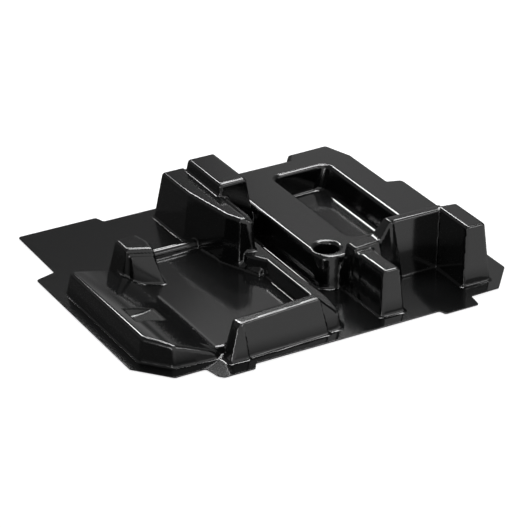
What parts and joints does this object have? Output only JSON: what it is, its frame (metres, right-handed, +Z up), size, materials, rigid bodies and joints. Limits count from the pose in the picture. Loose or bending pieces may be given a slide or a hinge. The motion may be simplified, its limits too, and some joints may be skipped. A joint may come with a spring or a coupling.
{
  "type": "tool case insert",
  "caption": "Formed black plastic tray that lines a tool case, with a cavity for a hand tool, an accessory tray, a round pocket and raised locating blocks on a flat rim.",
  "frame": {"origin": "centre of the bounding box in plan, at the underside of the flat rim", "axes": "+X along the long side, towards the bay with the tall block; +Y towards the back of the case; +Z up, out of the case"},
  "size_m": [0.3696, 0.3116, 0.0581],
  "materials": {
    "sheet": "black, half gloss, lightly grained"
  },
  "bodies": {
    "root": {"case_insert": "sheet"}
  },
  "joints": []
}
